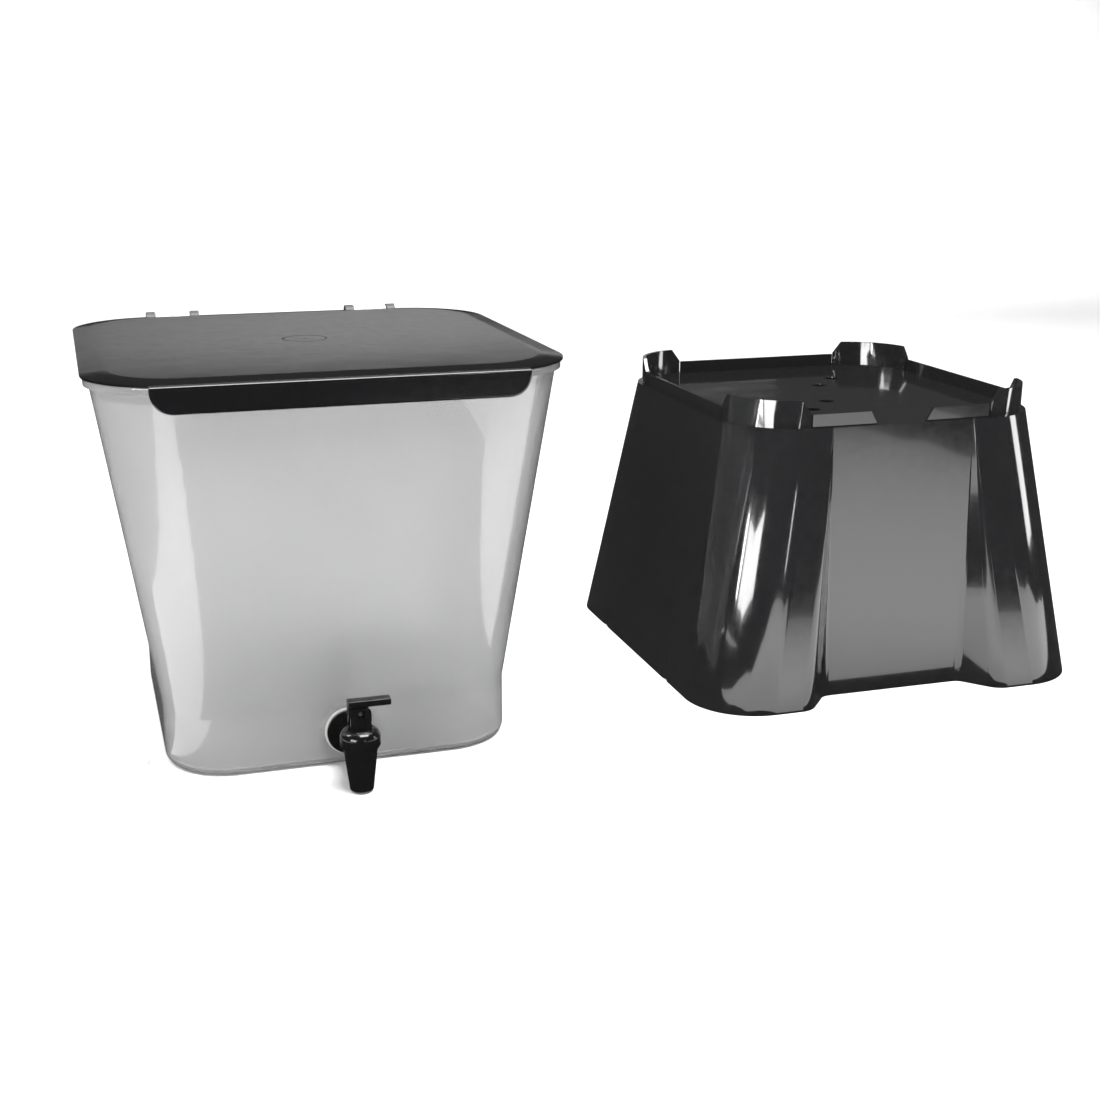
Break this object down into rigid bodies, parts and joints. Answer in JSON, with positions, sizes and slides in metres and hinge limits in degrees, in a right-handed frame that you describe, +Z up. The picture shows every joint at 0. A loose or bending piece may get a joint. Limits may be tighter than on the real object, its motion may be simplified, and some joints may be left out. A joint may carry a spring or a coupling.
{
  "type": "drinks dispenser",
  "caption": "Translucent drinks tank with a hinged black lid and lever tap, beside its glossy black hollow stand.",
  "frame": {"origin": "middle of the tank's foot, on the surface it stands on", "axes": "+Z up; -Y is the front, the side of the tap and of the stand's cup bay; +X to the right, towards the stand"},
  "size_m": [0.873, 0.4506, 0.3235],
  "materials": {
    "translucent_polypropylene": "natural translucent, smooth",
    "black_gloss_plastic": "gloss",
    "tap_plastic": "gloss",
    "stand_plastic": "high gloss",
    "nut_plastic": "natural, satin",
    "stem_plastic": "satin",
    "silicone": "translucent, satin",
    "seal_rubber": "satin",
    "spring_steel": "drawn wire"
  },
  "bodies": {
    "stand": {"stand": "stand_plastic"},
    "tank": {"tank": "translucent_polypropylene", "tap_body": "tap_plastic", "tap_bonnet": "tap_plastic", "tap_nut": "nut_plastic", "tap_front_washer": "silicone", "tap_back_washer": "silicone", "tap_bonnet_seal": "seal_rubber", "tap_stem_seal": "seal_rubber", "tap_lever_pin": "tap_plastic"},
    "lid": {"lid": "black_gloss_plastic", "hinge_pin_left": "black_gloss_plastic", "hinge_pin_right": "black_gloss_plastic"},
    "lever": {"tap_lever": "tap_plastic", "tap_lift_pin": "spring_steel"},
    "stem": {"tap_stem": "stem_plastic", "tap_seat_cup": "silicone", "tap_spring": "spring_steel"}
  },
  "joints": [
    {"name": "tank_lift", "type": "slide", "parent": "stand", "child": "tank", "axis": [0, 0, 1], "range_m": [0, 0.25]},
    {"name": "lid_hinge", "type": "hinge", "parent": "tank", "child": "lid", "pos_m": [0, 0.1978, 0.3172], "axis": [-1, 0, 0], "range_deg": [0, 105]},
    {"name": "lever_tilt", "type": "hinge", "parent": "tank", "child": "lever", "pos_m": [-0.0055, -0.202, 0.066], "axis": [0, -1, 0], "range_deg": [0, 30], "stiffness_Nm_per_rad": 0.1, "springref_deg": -28.65},
    {"name": "stem_lift", "type": "slide", "parent": "tank", "child": "stem", "axis": [0, 0, 1], "range_m": [0, 0.003], "deforming": ["tap_spring"]}
  ],
  "couplings": [
    {"joint": "stem_lift", "follows": "lever_tilt", "m_per_rad": 0.005634}
  ]
}
